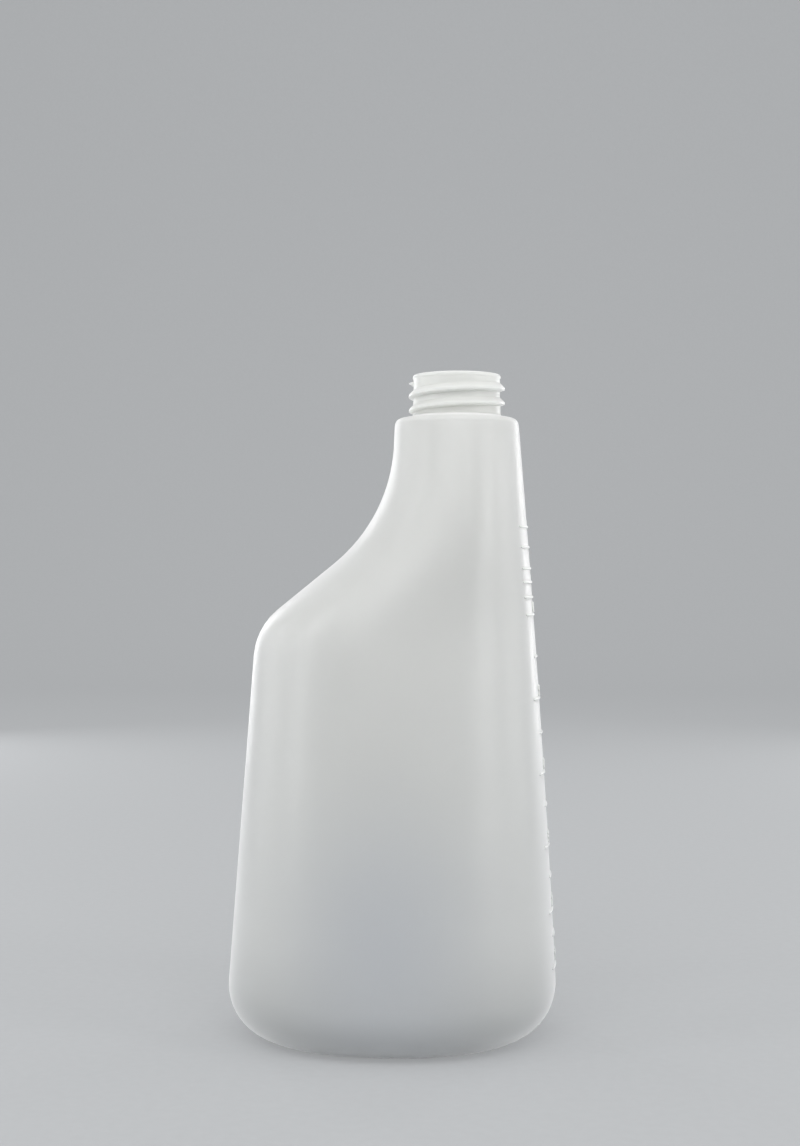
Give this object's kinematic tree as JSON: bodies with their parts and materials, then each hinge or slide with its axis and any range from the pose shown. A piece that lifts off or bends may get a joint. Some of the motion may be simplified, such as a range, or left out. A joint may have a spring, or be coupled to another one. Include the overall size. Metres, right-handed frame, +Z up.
{
  "type": "graduated spray bottle",
  "caption": "Hollow blow-moulded bottle with a finger grip, an off-centre threaded neck open at the top and a raised volume scale up one side.",
  "frame": {"origin": "middle of the bottle's length and depth, on the plane it stands on", "axes": "+Z up, along the neck's axis; +X towards the raised scale and the off-centre neck, -X towards the finger grip; +Y towards the back face, through the thin depth of the body"},
  "size_m": [0.0944, 0.084, 0.1897],
  "materials": {
    "natural_hdpe": "blow-moulded natural polyethylene, milky and softly glossy"
  },
  "bodies": {
    "root": {"bottle": "natural_hdpe"}
  },
  "joints": []
}
